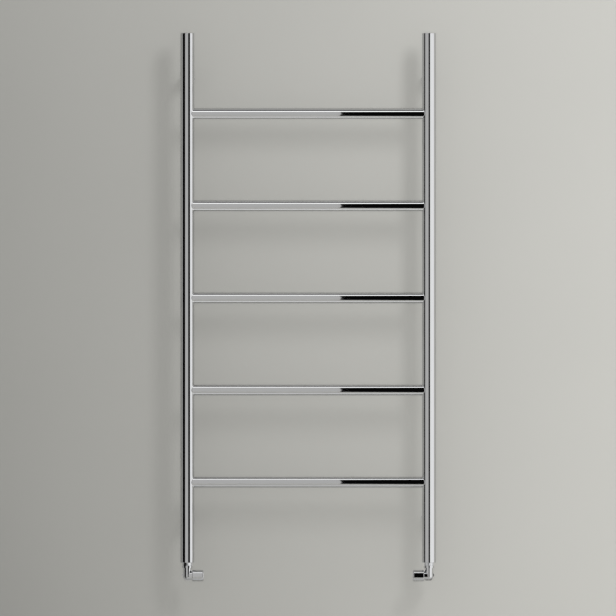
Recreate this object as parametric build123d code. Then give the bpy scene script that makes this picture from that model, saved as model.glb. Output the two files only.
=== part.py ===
from build123d import *
import math
import os

# Water-heated ladder towel warmer: two upright posts, five rails, four wall brackets and two corner valves.
# Millimetres. +X runs to the right, +Y into the wall and +Z up. The origin lies in the wall plane, at the
# centre of the four wall screw holes, so the whole rack stands on the -Y side of the wall.

# Posts
POST_HEIGHT = 1200.0
POST_SPACING = 548.0
POST_OD = 32.0
POST_WALL = 1.5
POST_STANDOFF = 75.0  # post axis to the wall
POST_EDGE = 0.6  # chamfer round the outer rim of each post end
CAP_THICKNESS = 6.0
BUSH_HEIGHT = 20.0

# Rails
RAIL_COUNT = 5
RAIL_END_MARGIN = 182.0  # first and last rail axis to the nearer post end
RAIL_OD = 25.0
RAIL_WALL = 1.2

# Wall brackets
BRACKET_END_MARGIN = 100.0  # bracket axis to the nearer post end
STUD_D = 8.0
STUD_LENGTH = 9.0
STUD_END_GAP = 1.0
BOSS_WALL = 3.0
BOSS_FLOOR = 4.0
BOSS_PROUD = 1.0  # how far a boss stands out of the back of its post
ARM_D = 18.0
ARM_CLEARANCE = 0.1
ARM_END_GAP = 4.0  # arm end to the floor of its socket
SOCKET_WALL = 2.9
SOCKET_BASE = 6.0
SOCKET_REVEAL = 18.0  # bare arm between the boss and the socket mouth
SOCKET_EDGE = 0.8
FLANGE_WIDTH = 3.0
FLANGE_THICKNESS = 3.0
WALL_SCREW_HOLE_D = 5.5
WALL_SCREW_SINK_D = 10.5
GRUB_D = 5.0
GRUB_KEY = 2.5
GRUB_KEY_DEPTH = 1.5
GRUB_RECESS = 0.3
GRUB_INSET = 8.0  # arm end to the grub screw axis

# Air vent at the back of the right post
VENT_END_MARGIN = 45.0
VENT_THREAD_D = 12.9
VENT_THREAD_LENGTH = 9.0
VENT_BUSH_WALL = 2.5
VENT_BUSH_LENGTH = 12.0
VENT_BUSH_PROUD = 2.0
VENT_SEAL_THICKNESS = 1.5
VENT_HEX_WALL = 2.05
VENT_HEX_LENGTH = 5.0
BLEED_D = 6.0
BLEED_SEAT_D = 3.0
BLEED_SEAT_WALL = 3.0
BLEED_TIP_EDGE = 0.8
BLEED_HEAD_GAP = 1.0
BLEED_SQUARE = 5.0
BLEED_SQUARE_LENGTH = 5.0
BLEED_PORT_D = 1.6

# Valve waterway and tail
WATERWAY_D = 8.0
BRANCH_OFFSET = 1.0  # pipe axis, inward of the post axis
BRANCH_WALL = 4.5
DUCT_D = 4.0
DUCT_WALL = 0.6
SEAT_D = 5.0
SEAT_MARGIN = 0.6  # seat to the near side of the branch waterway
BODY_WALL = 2.25
BALL_PROUD = 0.5  # how far the ball of the corner stands out of its legs
SPIGOT_FLOOR = 5.2
SPIGOT_CHAMBER = 3.0
SPIGOT_DEPTH = 10.0
SPIGOT_CLEARANCE = 0.1
TAIL_WALL = 2.5
TAIL_SHOULDER = 3.5
TAIL_THREAD_LENGTH = 14.0
TAIL_SEAL_SECTION = 1.5
SNAP_WIRE = 1.6
SNAP_GROOVE_DEPTH = 0.7
NECK_GAP = 0.5
NUT_LIP = 2.2
NUT_LIP_CLEARANCE = 0.25
NUT_GAP = 0.5  # union nut to the post end
NUT_HEIGHT = 12.0
NUT_HEX_HEIGHT = 6.5
NUT_HEX_WALL = 1.1  # at the flats
NUT_SKIRT_WALL = 2.4
NUT_SKIRT_EDGE = 0.5
NUT_CHAMFER = 1.0

# Valve plug, bonnet and spindle
PLUG_LIFT = 3.0
PLUG_SHANK_WALL = 1.45
PLUG_SHANK = 11.5
PLUG_DISC = 2.5
PLUG_FLOOR = 2.5
PLUG_TOP_GAP = 1.0
PLUG_CLEARANCE = 0.3
WASHER_THICKNESS = 2.0
WASHER_LAND = 3.0
WASHER_PIN_D = 3.0
KEY_CLEARANCE = 0.1
BONNET_WALL = 1.65
BONNET_FLANGE = 4.0
BONNET_FLOOR = 1.4
BONNET_HEX_CLEARANCE = 0.8
GASKET_THICKNESS = 1.0
NOSE_WALL = 1.2
NOSE_LENGTH = 5.0
SPINDLE_THREAD_D = 6.0
SPINDLE_SHOULDER = 0.5
SPINDLE_END_GAP = 0.5
SPINDLE_SQUARE_LENGTH = 7.8
COLLAR_GAP = 0.5
COLLAR_THICKNESS = 1.5
THRUST_CLEARANCE = 0.1
SPINDLE_SEAL_SECTION = 1.2
CLIP_THICKNESS = 0.8
CLIP_WIDTH = 1.6
CLIP_GROOVE = 0.6
CLIP_LAND = 1.0

# Valve heads: a handwheel on the flow side and a shield cap on the return side
HEAD_GAP = 1.25  # running gap between a head and the valve body inside it
HEAD_WALL = 2.5
HEAD_END_WALL = 3.0
HEAD_ROUND = 3.2
HEAD_RIM_EDGE = 0.5
HEAD_BRANCH_GAP = 1.7
GRIP_GAP = 0.4
GRIP_CLEARANCE = 0.1
WHEEL_SCREW_D = 4.0
WHEEL_SCREW_KEY = 2.0
WHEEL_SCREW_KEY_DEPTH = 2.0
WHEEL_SCREW_RECESS = 0.4

# Pipe connection at the back of each valve
PIPE_D = 15.0
PIPE_CLEARANCE = 0.1
PIPE_SOCKET_WALL = 2.85
PIPE_SOCKET_DEPTH = 13.0
PIPE_HEAD_GAP = 0.5
OLIVE_WALL = 1.3
OLIVE_LENGTH = 7.0
OLIVE_SEAT = 2.4
OLIVE_EDGE = 0.6
OLIVE_CLEARANCE = 0.1
PIPE_NUT_OVERLAP = 8.0
PIPE_NUT_END = 4.0
PIPE_NUT_WALL = 1.5

# Fits shared by several pieces
THREAD_CLEARANCE = 0.05
RUNNING_CLEARANCE = 0.05

# Post and rail places
POST_ID = POST_OD - 2 * POST_WALL
POST_X = POST_SPACING / 2
POST_TOP = POST_HEIGHT / 2
RAIL_ID = RAIL_OD - 2 * RAIL_WALL
RAIL_TOP_Z = POST_TOP - RAIL_END_MARGIN
RAIL_PITCH = 2 * RAIL_TOP_Z / (RAIL_COUNT - 1)

# Bracket places, with Y measured from the wall
BRACKET_Z = POST_TOP - BRACKET_END_MARGIN
BOSS_OD = STUD_D + 2 * (THREAD_CLEARANCE + BOSS_WALL)
BOSS_BACK_Y = POST_OD / 2 + BOSS_PROUD - POST_STANDOFF
STUD_END_Y = BOSS_BACK_Y - STUD_LENGTH
BOSS_BORE_Y = STUD_END_Y - STUD_END_GAP
BOSS_FRONT_Y = BOSS_BORE_Y - BOSS_FLOOR
ARM_END_Y = -SOCKET_BASE - ARM_END_GAP
SOCKET_MOUTH_Y = BOSS_BACK_Y + SOCKET_REVEAL
SOCKET_BORE = ARM_D + 2 * ARM_CLEARANCE
SOCKET_OD = SOCKET_BORE + 2 * SOCKET_WALL
FLANGE_OD = SOCKET_OD + 2 * FLANGE_WIDTH
GRUB_Y = ARM_END_Y - GRUB_INSET

# Air vent places, with Y measured from the post axis
VENT_Z = POST_TOP - VENT_END_MARGIN
VENT_BUSH_BORE = VENT_THREAD_D + 2 * THREAD_CLEARANCE
VENT_BUSH_OD = VENT_BUSH_BORE + 2 * VENT_BUSH_WALL
VENT_BUSH_BACK = POST_OD / 2 + VENT_BUSH_PROUD
VENT_BUSH_FRONT = VENT_BUSH_BACK - VENT_BUSH_LENGTH
VENT_HEX_FRONT = VENT_BUSH_BACK + VENT_SEAL_THICKNESS
VENT_HEX_BACK = VENT_HEX_FRONT + VENT_HEX_LENGTH
VENT_HEX = VENT_BUSH_BORE + 2 * VENT_HEX_WALL
VENT_THREAD_FRONT = VENT_BUSH_BACK - VENT_THREAD_LENGTH
BLEED_SEAT_Y = VENT_THREAD_FRONT + BLEED_SEAT_WALL
BLEED_HEAD_Y = VENT_HEX_BACK + BLEED_HEAD_GAP
BLEED_END_Y = BLEED_HEAD_Y + BLEED_SQUARE_LENGTH

# Valve diameters, from the spindle outwards
HEX_CORNER = 1 / math.cos(math.radians(30))
SPINDLE_D = SPINDLE_THREAD_D + 2 * SPINDLE_SHOULDER
SPINDLE_SQUARE = SPINDLE_D / math.sqrt(2)
PLUG_BORE = SPINDLE_THREAD_D + 2 * RUNNING_CLEARANCE
PLUG_KEY = PLUG_BORE + 2 * PLUG_SHANK_WALL
KEYWAY = PLUG_KEY + 2 * KEY_CLEARANCE
BONNET_THREAD_D = KEYWAY * HEX_CORNER + 2 * BONNET_WALL
BODY_BORE = BONNET_THREAD_D + 2 * THREAD_CLEARANCE
BODY_OD = BODY_BORE + 2 * BODY_WALL
BRANCH_OD = WATERWAY_D + 2 * BRANCH_WALL
HEAD_BORE = BODY_OD + 2 * HEAD_GAP
HEAD_OD = HEAD_BORE + 2 * HEAD_WALL
BONNET_HEX = (HEAD_BORE - 2 * BONNET_HEX_CLEARANCE) / HEX_CORNER
NOSE_OD = KEYWAY * HEX_CORNER + 2 * NOSE_WALL
GUIDE_BORE = SPINDLE_D + 2 * RUNNING_CLEARANCE
CLIP_OD = SPINDLE_D + 2 * CLIP_WIDTH
CLIP_ID = SPINDLE_D - 2 * CLIP_GROOVE
TAIL_D = WATERWAY_D + 2 * TAIL_WALL
TAIL_THREAD_D = TAIL_D + 2 * TAIL_SHOULDER
BUSH_BORE = TAIL_THREAD_D + 2 * THREAD_CLEARANCE
SPIGOT_BORE = TAIL_D + 2 * SPIGOT_CLEARANCE
NUT_BORE = BODY_OD + 2 * THREAD_CLEARANCE
NUT_HEX = NUT_BORE + 2 * NUT_HEX_WALL
NUT_SKIRT_OD = NUT_BORE + 2 * NUT_SKIRT_WALL
SNAP_RADIUS = TAIL_D / 2 + SNAP_WIRE / 2 - SNAP_GROOVE_DEPTH

# Valve heights above its own axis, from the body bore up to the post end
SPIGOT_FLOOR_Z = BODY_BORE / 2 + SPIGOT_FLOOR
TAIL_END_Z = SPIGOT_FLOOR_Z + SPIGOT_CHAMBER
NECK_TOP_Z = TAIL_END_Z + SPIGOT_DEPTH
SNAP_Z = NECK_TOP_Z + NECK_GAP + SNAP_WIRE / 2
NUT_LIP_Z = SNAP_Z + SNAP_WIRE / 2
NUT_TOP_Z = NUT_LIP_Z + NUT_LIP
POST_END_Z = NUT_TOP_Z + NUT_GAP
TAIL_TOP_Z = POST_END_Z + TAIL_THREAD_LENGTH
TAIL_SEAL_Z = TAIL_END_Z + SPIGOT_DEPTH / 2
VALVE_Z = -POST_TOP - POST_END_Z

# Valve distances inward from the post axis, from the seat out to the end of the head
SEAT_X = BRANCH_OFFSET - WATERWAY_D / 2 - SEAT_MARGIN
DUCT_X = SEAT_X - DUCT_WALL - DUCT_D / 2
DISC_START_X = SEAT_X + WASHER_THICKNESS
DISC_END_X = DISC_START_X + PLUG_DISC
PLUG_BORE_X = DISC_END_X + PLUG_FLOOR
PLUG_END_X = DISC_END_X + PLUG_SHANK
SPINDLE_START_X = PLUG_BORE_X + PLUG_LIFT + SPINDLE_END_GAP
COLLAR_START_X = PLUG_END_X + PLUG_LIFT + COLLAR_GAP
COLLAR_END_X = COLLAR_START_X + COLLAR_THICKNESS
KEYWAY_END_X = COLLAR_END_X + THRUST_CLEARANCE
BONNET_START_X = max(BRANCH_OFFSET + WATERWAY_D / 2, DISC_END_X + PLUG_LIFT + PLUG_TOP_GAP)
FLANGE_END_X = KEYWAY_END_X + BONNET_FLOOR
FLANGE_START_X = FLANGE_END_X - BONNET_FLANGE
LEG_END_X = FLANGE_START_X - GASKET_THICKNESS
NOSE_END_X = FLANGE_END_X + NOSE_LENGTH
SPINDLE_SEAL_X = (KEYWAY_END_X + NOSE_END_X) / 2
CLIP_START_X = NOSE_END_X + THRUST_CLEARANCE
CLIP_END_X = CLIP_START_X + CLIP_THICKNESS
SQUARE_START_X = CLIP_END_X + CLIP_LAND
SPINDLE_END_X = SQUARE_START_X + SPINDLE_SQUARE_LENGTH
HEAD_FLOOR_X = SPINDLE_END_X + SPINDLE_END_GAP
HEAD_END_X = HEAD_FLOOR_X + HEAD_END_WALL
HEAD_START_X = BRANCH_OFFSET + BRANCH_OD / 2 + HEAD_BRANCH_GAP
WHEEL_SCREW_X = (SQUARE_START_X + SPINDLE_END_X) / 2

# Pipe connection distances from the post axis towards the wall
PIPE_BORE = PIPE_D + 2 * PIPE_CLEARANCE
PIPE_THREAD_D = PIPE_BORE + 2 * PIPE_SOCKET_WALL
OLIVE_OD = PIPE_BORE + 2 * OLIVE_WALL
OLIVE_SEAT_D = OLIVE_OD + 2 * OLIVE_CLEARANCE
PIPE_NUT_BORE = PIPE_THREAD_D + 2 * THREAD_CLEARANCE
PIPE_NUT_HEX = PIPE_NUT_BORE + 2 * PIPE_NUT_WALL
PIPE_SOCKET_Y = HEAD_OD / 2 + PIPE_HEAD_GAP
PIPE_MOUTH_Y = PIPE_SOCKET_Y + PIPE_SOCKET_DEPTH
OLIVE_START_Y = PIPE_MOUTH_Y - OLIVE_SEAT
OLIVE_END_Y = OLIVE_START_Y + OLIVE_LENGTH
PIPE_NUT_START_Y = PIPE_MOUTH_Y - PIPE_NUT_OVERLAP
PIPE_NUT_END_Y = OLIVE_END_Y + PIPE_NUT_END

LEFT = -1
RIGHT = 1
TURN = {"x": Rot(0, 90, 0), "y": Rot(-90, 0, 0), "z": Rot(0, 0, 0)}
ON_END = (Align.CENTER, Align.CENTER, Align.MIN)


def along(axis, shape, start):
    """Turn a shape that stands on the XY plane to point along an axis, from a start on that axis."""
    return TURN[axis] * (Pos(0, 0, start) * shape)


def rod(axis, diameter, start, end):
    """Round bar on an axis through the origin."""
    return along(axis, Cylinder(diameter / 2, end - start, align=ON_END), start)


def tube(axis, outer, inner, start, end):
    """Round bar with a round hole right through it."""
    return rod(axis, outer, start, end) - rod(axis, inner, start, end)


def cone(axis, start_diameter, end_diameter, start, end):
    """Tapered round bar on an axis through the origin."""
    return along(axis, Cone(start_diameter / 2, end_diameter / 2, end - start, align=ON_END), start)


def hexagon(axis, across_flats, start, end):
    """Six-sided bar measured across its flats."""
    outline = RegularPolygon(across_flats / 2, 6, major_radius=False)
    return along(axis, extrude(outline, end - start), start)


def square(axis, across_flats, start, end):
    """Four-sided bar measured across its flats."""
    return along(axis, Box(across_flats, across_flats, end - start, align=ON_END), start)


def nut_blank(axis, across_flats, start, end):
    """Six-sided bar with its corners turned down to a cone at both ends."""
    turned = Cylinder(across_flats * HEX_CORNER / 2, end - start, align=ON_END)
    turned = chamfer(turned.edges().filter_by(GeomType.CIRCLE), NUT_CHAMFER)
    return hexagon(axis, across_flats, start, end) & along(axis, turned, start)


def o_ring(axis, outer, section, place):
    """Ring of round section, measured over its outside."""
    return along(axis, Torus((outer - section) / 2, section / 2), place)


def ring_groove(axis, outer, inner, width, place):
    """Cutter for a groove round a bar, centred at a place on its axis."""
    return tube(axis, outer, inner, place - width / 2, place + width / 2)


def post(side):
    """Upright tube with water holes for the rails and seats for what is fixed at its back."""
    shell = tube("z", POST_OD, POST_ID, -POST_TOP, POST_TOP)
    rims = shell.edges().filter_by(GeomType.CIRCLE).filter_by(lambda rim: rim.radius > POST_ID / 2)
    shell = chamfer(rims, POST_EDGE)
    for z in rail_heights():
        inward = sorted((0, -side * POST_OD))
        shell -= Pos(0, 0, z) * rod("x", RAIL_ID, *inward)
    for z in (BRACKET_Z, -BRACKET_Z):
        shell -= Pos(0, 0, z) * rod("y", BOSS_OD, 0, POST_OD)
    if side == RIGHT:
        shell -= Pos(0, 0, VENT_Z) * rod("y", VENT_BUSH_OD, 0, POST_OD)
    return at_post(side, shell)


def at_post(side, shape):
    """Carry a shape from the origin to a post axis at mid-height."""
    return Pos(side * POST_X, -POST_STANDOFF, 0) * shape


def rail_heights():
    """Heights of the rail axes, from the top rail down."""
    return [RAIL_TOP_Z - index * RAIL_PITCH for index in range(RAIL_COUNT)]


def rail(z):
    """Cross tube whose ends are shaped to sit on the round posts."""
    bar = tube("x", RAIL_OD, RAIL_ID, -POST_X, POST_X)
    for side in (LEFT, RIGHT):
        bar -= Pos(side * POST_X, 0, 0) * rod("z", POST_OD, -RAIL_OD, RAIL_OD)
    return Pos(0, -POST_STANDOFF, z) * bar


def bracket_places():
    """Names and post sides and heights of the four brackets."""
    heights = {"upper": BRACKET_Z, "lower": -BRACKET_Z}
    sides = {"left": LEFT, "right": RIGHT}
    return [(f"{level}_{name}", sides[name], heights[level]) for level in heights for name in sides]


def bracket_boss():
    """Blind threaded boss let into the back of a post."""
    boss = rod("y", BOSS_OD, BOSS_FRONT_Y, BOSS_BACK_Y)
    return boss - rod("y", STUD_D + 2 * THREAD_CLEARANCE, BOSS_BORE_Y, BOSS_BACK_Y)


def bracket_arm():
    """Round arm that screws into a boss and slides in a wall socket."""
    return rod("y", STUD_D, STUD_END_Y, BOSS_BACK_Y) + rod("y", ARM_D, BOSS_BACK_Y, ARM_END_Y)


def bracket_socket():
    """Wall cup with a flange, a countersunk screw hole in its floor and a grub screw hole below."""
    barrel = Cylinder(SOCKET_OD / 2, -SOCKET_MOUTH_Y, align=ON_END)
    barrel = chamfer(barrel.edges().group_by(Axis.Z)[0], SOCKET_EDGE)
    cup = along("y", barrel, SOCKET_MOUTH_Y) + rod("y", FLANGE_OD, -FLANGE_THICKNESS, 0)
    cup -= rod("y", SOCKET_BORE, SOCKET_MOUTH_Y, -SOCKET_BASE)
    cup -= rod("y", WALL_SCREW_HOLE_D, -SOCKET_BASE, 0)
    sink_depth = (WALL_SCREW_SINK_D - WALL_SCREW_HOLE_D) / 2
    cup -= cone("y", WALL_SCREW_SINK_D, WALL_SCREW_HOLE_D, -SOCKET_BASE, sink_depth - SOCKET_BASE)
    return cup - Pos(0, GRUB_Y, 0) * rod("z", GRUB_D, -SOCKET_OD / 2, 0)


def bracket_grub():
    """Headless screw that locks an arm in its socket from below."""
    low_end = GRUB_RECESS - SOCKET_OD / 2
    screw = rod("z", GRUB_D, low_end, -ARM_D / 2)
    screw -= hexagon("z", GRUB_KEY, low_end, low_end + GRUB_KEY_DEPTH)
    return Pos(0, GRUB_Y, 0) * screw


def at_bracket(side, z, shape):
    """Carry a bracket piece from the origin to its post and height."""
    return Pos(side * POST_X, 0, z) * shape


def at_vent(shape):
    """Carry an air vent piece from the origin to the back of the right post."""
    return Pos(POST_X, -POST_STANDOFF, VENT_Z) * shape


def vent_plug():
    """Screwed plug with a stepped hole along it and a small outlet in its underside."""
    plug = rod("y", VENT_THREAD_D, VENT_THREAD_FRONT, VENT_HEX_FRONT)
    plug += hexagon("y", VENT_HEX, VENT_HEX_FRONT, VENT_HEX_BACK)
    plug -= rod("y", BLEED_D + 2 * RUNNING_CLEARANCE, BLEED_SEAT_Y, VENT_HEX_BACK)
    plug -= rod("y", BLEED_SEAT_D, VENT_THREAD_FRONT, BLEED_SEAT_Y)
    outlet_y = (VENT_HEX_FRONT + VENT_HEX_BACK) / 2
    return plug - Pos(0, outlet_y, 0) * rod("z", BLEED_PORT_D, -VENT_HEX, 0)


def bleed_screw():
    """Square-headed screw that closes the hole of the vent plug."""
    shank = Cylinder(BLEED_D / 2, BLEED_HEAD_Y - BLEED_SEAT_Y - RUNNING_CLEARANCE, align=ON_END)
    shank = chamfer(shank.edges().group_by(Axis.Z)[0], BLEED_TIP_EDGE)
    head = square("y", BLEED_SQUARE, BLEED_HEAD_Y, BLEED_END_Y)
    return along("y", shank, BLEED_SEAT_Y + RUNNING_CLEARANCE) + head


def at_branch(shape):
    """Carry a pipe connection piece from the post axis to the pipe axis of its valve."""
    return Pos(BRANCH_OFFSET, 0, 0) * shape


def valve_body():
    """Corner body: neck up to the post, leg inward to the bonnet, branch back to the pipe."""
    body = Sphere(BODY_OD / 2 + BALL_PROUD)
    body += rod("z", BODY_OD, 0, NECK_TOP_Z) + rod("x", BODY_OD, 0, LEG_END_X)
    body += at_branch(rod("y", BRANCH_OD, 0, PIPE_SOCKET_Y))
    body += at_branch(rod("y", PIPE_THREAD_D, PIPE_SOCKET_Y, PIPE_MOUTH_Y))
    body -= rod("x", BODY_BORE, SEAT_X, LEG_END_X)
    body -= rod("x", SEAT_D, DUCT_X, SEAT_X)
    body -= Pos(DUCT_X, 0, 0) * rod("z", DUCT_D, -DUCT_D / 2, SPIGOT_FLOOR_Z)
    body -= rod("z", SPIGOT_BORE, SPIGOT_FLOOR_Z, NECK_TOP_Z)
    body -= at_branch(rod("y", WATERWAY_D, 0, PIPE_SOCKET_Y))
    body -= at_branch(rod("y", PIPE_BORE, PIPE_SOCKET_Y, PIPE_MOUTH_Y))
    return body - at_branch(rod("y", OLIVE_SEAT_D, OLIVE_START_Y, PIPE_MOUTH_Y))


def valve_tail():
    """Threaded tail that screws into the post and enters the neck of the valve."""
    tail = rod("z", TAIL_D, TAIL_END_Z, POST_END_Z) + rod("z", TAIL_THREAD_D, POST_END_Z, TAIL_TOP_Z)
    tail -= rod("z", WATERWAY_D, TAIL_END_Z, TAIL_TOP_Z)
    tail -= ring_groove("z", TAIL_D, SPIGOT_BORE - 2 * TAIL_SEAL_SECTION, TAIL_SEAL_SECTION, TAIL_SEAL_Z)
    return tail - ring_groove("z", TAIL_D, TAIL_D - 2 * SNAP_GROOVE_DEPTH, SNAP_WIRE, SNAP_Z)


def union_nut():
    """Nut with a round skirt that draws the snap ring of the tail down on to the neck."""
    skirt = Cylinder(NUT_SKIRT_OD / 2, NUT_HEIGHT - NUT_HEX_HEIGHT, align=ON_END)
    skirt = chamfer(skirt.edges().group_by(Axis.Z)[0], NUT_SKIRT_EDGE)
    nut = along("z", skirt, NUT_TOP_Z - NUT_HEIGHT)
    nut += Rot(0, 0, 30) * nut_blank("z", NUT_HEX, NUT_TOP_Z - NUT_HEX_HEIGHT, NUT_TOP_Z)
    nut -= rod("z", NUT_BORE, NUT_TOP_Z - NUT_HEIGHT, NUT_LIP_Z)
    return nut - rod("z", TAIL_D + 2 * NUT_LIP_CLEARANCE, NUT_LIP_Z, NUT_TOP_Z)


def bonnet():
    """Screwed insert that keys the plug against turning and guides the spindle."""
    insert = rod("x", BONNET_THREAD_D, BONNET_START_X, FLANGE_START_X)
    insert += hexagon("x", BONNET_HEX, FLANGE_START_X, FLANGE_END_X)
    insert += rod("x", NOSE_OD, FLANGE_END_X, NOSE_END_X)
    insert -= hexagon("x", KEYWAY, BONNET_START_X, KEYWAY_END_X)
    return insert - rod("x", GUIDE_BORE, KEYWAY_END_X, NOSE_END_X)


def valve_plug():
    """Keyed plug that the spindle thread draws off the seat, with a pin for its washer."""
    plug = rod("x", WASHER_PIN_D, SEAT_X, DISC_START_X)
    plug += rod("x", BODY_BORE - 2 * PLUG_CLEARANCE, DISC_START_X, DISC_END_X)
    plug += hexagon("x", PLUG_KEY, DISC_END_X, PLUG_END_X)
    return plug - rod("x", PLUG_BORE, PLUG_BORE_X, PLUG_END_X)


def spindle():
    """Spindle with a thread inside, a thrust collar, a sealed journal and a square end."""
    bar = rod("x", SPINDLE_THREAD_D, SPINDLE_START_X, COLLAR_START_X)
    bar += rod("x", PLUG_KEY, COLLAR_START_X, COLLAR_END_X)
    bar += rod("x", SPINDLE_D, COLLAR_END_X, SQUARE_START_X)
    bar += square("x", SPINDLE_SQUARE, SQUARE_START_X, SPINDLE_END_X)
    groove_floor = SPINDLE_D - 2 * SPINDLE_SEAL_SECTION
    bar -= ring_groove("x", SPINDLE_D, groove_floor, SPINDLE_SEAL_SECTION, SPINDLE_SEAL_X)
    return bar - tube("x", SPINDLE_D, CLIP_ID, CLIP_START_X, CLIP_END_X)


def head_shell():
    """Plain round cup that covers the bonnet, with a rounded end and an eased rim."""
    blank = Cylinder(HEAD_OD / 2, HEAD_END_X - HEAD_START_X, align=ON_END)
    blank = fillet(blank.edges().group_by(Axis.Z)[-1], HEAD_ROUND)
    blank = chamfer(blank.edges().group_by(Axis.Z)[0], HEAD_RIM_EDGE)
    return along("x", blank, HEAD_START_X) - rod("x", HEAD_BORE, HEAD_START_X, HEAD_FLOOR_X)


def wheel_screw_hole():
    """Cutter for the screw that locks the handwheel on the square of the spindle."""
    return Pos(WHEEL_SCREW_X, 0, 0) * rod("z", WHEEL_SCREW_D, -HEAD_OD / 2, 0)


def wheel_hub():
    """Moulded hub pressed into the handwheel, with a square hole for the spindle."""
    hub = rod("x", HEAD_BORE, SQUARE_START_X, HEAD_FLOOR_X)
    return hub - square("x", SPINDLE_SQUARE, SQUARE_START_X, HEAD_FLOOR_X) - wheel_screw_hole()


def wheel_screw():
    """Headless screw that bears on a flat of the spindle square from below."""
    low_end = WHEEL_SCREW_RECESS - HEAD_OD / 2
    screw = rod("z", WHEEL_SCREW_D, low_end, -SPINDLE_SQUARE / 2)
    screw -= hexagon("z", WHEEL_SCREW_KEY, low_end, low_end + WHEEL_SCREW_KEY_DEPTH)
    return Pos(WHEEL_SCREW_X, 0, 0) * screw


def pipe_nut():
    """Nut that squeezes the olive between its end wall and the mouth of the branch."""
    nut = nut_blank("y", PIPE_NUT_HEX, PIPE_NUT_START_Y, PIPE_NUT_END_Y)
    nut -= rod("y", PIPE_NUT_BORE, PIPE_NUT_START_Y, OLIVE_END_Y)
    return at_branch(nut - rod("y", PIPE_BORE, OLIVE_END_Y, PIPE_NUT_END_Y))


def pipe_olive():
    """Soft ring that seals on the pipe, eased at both outer edges."""
    olive = Cylinder(OLIVE_OD / 2, OLIVE_LENGTH, align=ON_END)
    olive = chamfer(olive.edges().filter_by(GeomType.CIRCLE), OLIVE_EDGE)
    return at_branch(along("y", olive, OLIVE_START_Y) - rod("y", PIPE_BORE, OLIVE_START_Y, OLIVE_END_Y))


def valve_pieces():
    """Pieces that both valves share, by the last part of their names."""
    washer_od = SEAT_D + 2 * WASHER_LAND
    return {
        "valve_body": valve_body(),
        "tail": valve_tail(),
        "tail_seal": o_ring("z", SPIGOT_BORE, TAIL_SEAL_SECTION, TAIL_SEAL_Z),
        "snap_ring": o_ring("z", 2 * SNAP_RADIUS + SNAP_WIRE, SNAP_WIRE, SNAP_Z),
        "union_nut": union_nut(),
        "bonnet": bonnet(),
        "bonnet_gasket": tube("x", BODY_OD, BODY_BORE, LEG_END_X, FLANGE_START_X),
        "plug": valve_plug(),
        "plug_washer": tube("x", washer_od, WASHER_PIN_D, SEAT_X, DISC_START_X),
        "spindle": spindle(),
        "spindle_seal": o_ring("x", SPINDLE_D, SPINDLE_SEAL_SECTION, SPINDLE_SEAL_X),
        "spindle_clip": tube("x", CLIP_OD, CLIP_ID, CLIP_START_X, CLIP_END_X),
        "pipe_nut": pipe_nut(),
        "pipe_olive": pipe_olive(),
    }


def handwheel_pieces():
    """Pieces of the handwheel that turns the flow valve."""
    return {
        "handwheel": head_shell() - wheel_screw_hole(),
        "handwheel_hub": wheel_hub(),
        "handwheel_screw": wheel_screw(),
    }


def shield_pieces():
    """Pieces of the cap that pulls off the return valve."""
    grip_start = FLANGE_END_X + GRIP_GAP
    return {
        "shield_cap": head_shell(),
        "shield_grip": tube("x", HEAD_BORE, NOSE_OD + 2 * GRIP_CLEARANCE, grip_start, NOSE_END_X),
    }


def at_valve(side, shape):
    """Carry a valve piece to the foot of its post, mirrored for the right hand."""
    handed = mirror(shape, about=Plane.YZ) if side == RIGHT else shape
    return Pos(side * POST_X, -POST_STANDOFF, VALVE_Z) * handed


def rack_pieces():
    """Posts, rails, end pieces, wall brackets and the air vent, by name."""
    pieces = {}
    for name, side in (("left", LEFT), ("right", RIGHT)):
        pieces[f"{name}_post"] = post(side)
        pieces[f"{name}_top_cap"] = at_post(side, rod("z", POST_ID, POST_TOP - CAP_THICKNESS, POST_TOP))
        bush = tube("z", POST_ID, BUSH_BORE, -POST_TOP, BUSH_HEIGHT - POST_TOP)
        pieces[f"{name}_foot_bush"] = at_post(side, bush)
    for number, z in enumerate(rail_heights(), start=1):
        pieces[f"rail_{number}"] = rail(z)
    places = bracket_places()
    for name, side, z in places:
        pieces[f"{name}_arm"] = at_bracket(side, z, bracket_arm())
        pieces[f"{name}_socket"] = at_bracket(side, z, bracket_socket())
    pieces["bracket_bosses"] = Part() + [at_bracket(side, z, bracket_boss()) for _, side, z in places]
    pieces["bracket_grubs"] = Part() + [at_bracket(side, z, bracket_grub()) for _, side, z in places]
    pieces["vent_bush"] = at_vent(tube("y", VENT_BUSH_OD, VENT_BUSH_BORE, VENT_BUSH_FRONT, VENT_BUSH_BACK))
    pieces["vent_seal"] = at_vent(tube("y", VENT_HEX, VENT_BUSH_BORE, VENT_BUSH_BACK, VENT_HEX_FRONT))
    pieces["vent_plug"] = at_vent(vent_plug())
    pieces["bleed_screw"] = at_vent(bleed_screw())
    return pieces


def all_pieces():
    """Every piece of the towel warmer, by node name."""
    pieces = rack_pieces()
    for prefix, side, head in (("flow", LEFT, handwheel_pieces()), ("return", RIGHT, shield_pieces())):
        for name, shape in {**valve_pieces(), **head}.items():
            pieces[f"{prefix}_{name}"] = at_valve(side, shape)
    return pieces


os.makedirs("parts", exist_ok=True)
for node, shape in all_pieces().items():
    export_step(shape, f"parts/{node}.step")
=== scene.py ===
"""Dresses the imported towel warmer: fine meshes, finishes, a wall, soft light and the front camera."""

import logging
import math
from abc import ABC, abstractmethod
from collections.abc import Callable, Sequence
from dataclasses import dataclass, field
from enum import Enum
from typing import Any

import bmesh
import bpy
from mathutils import Matrix, Vector


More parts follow.
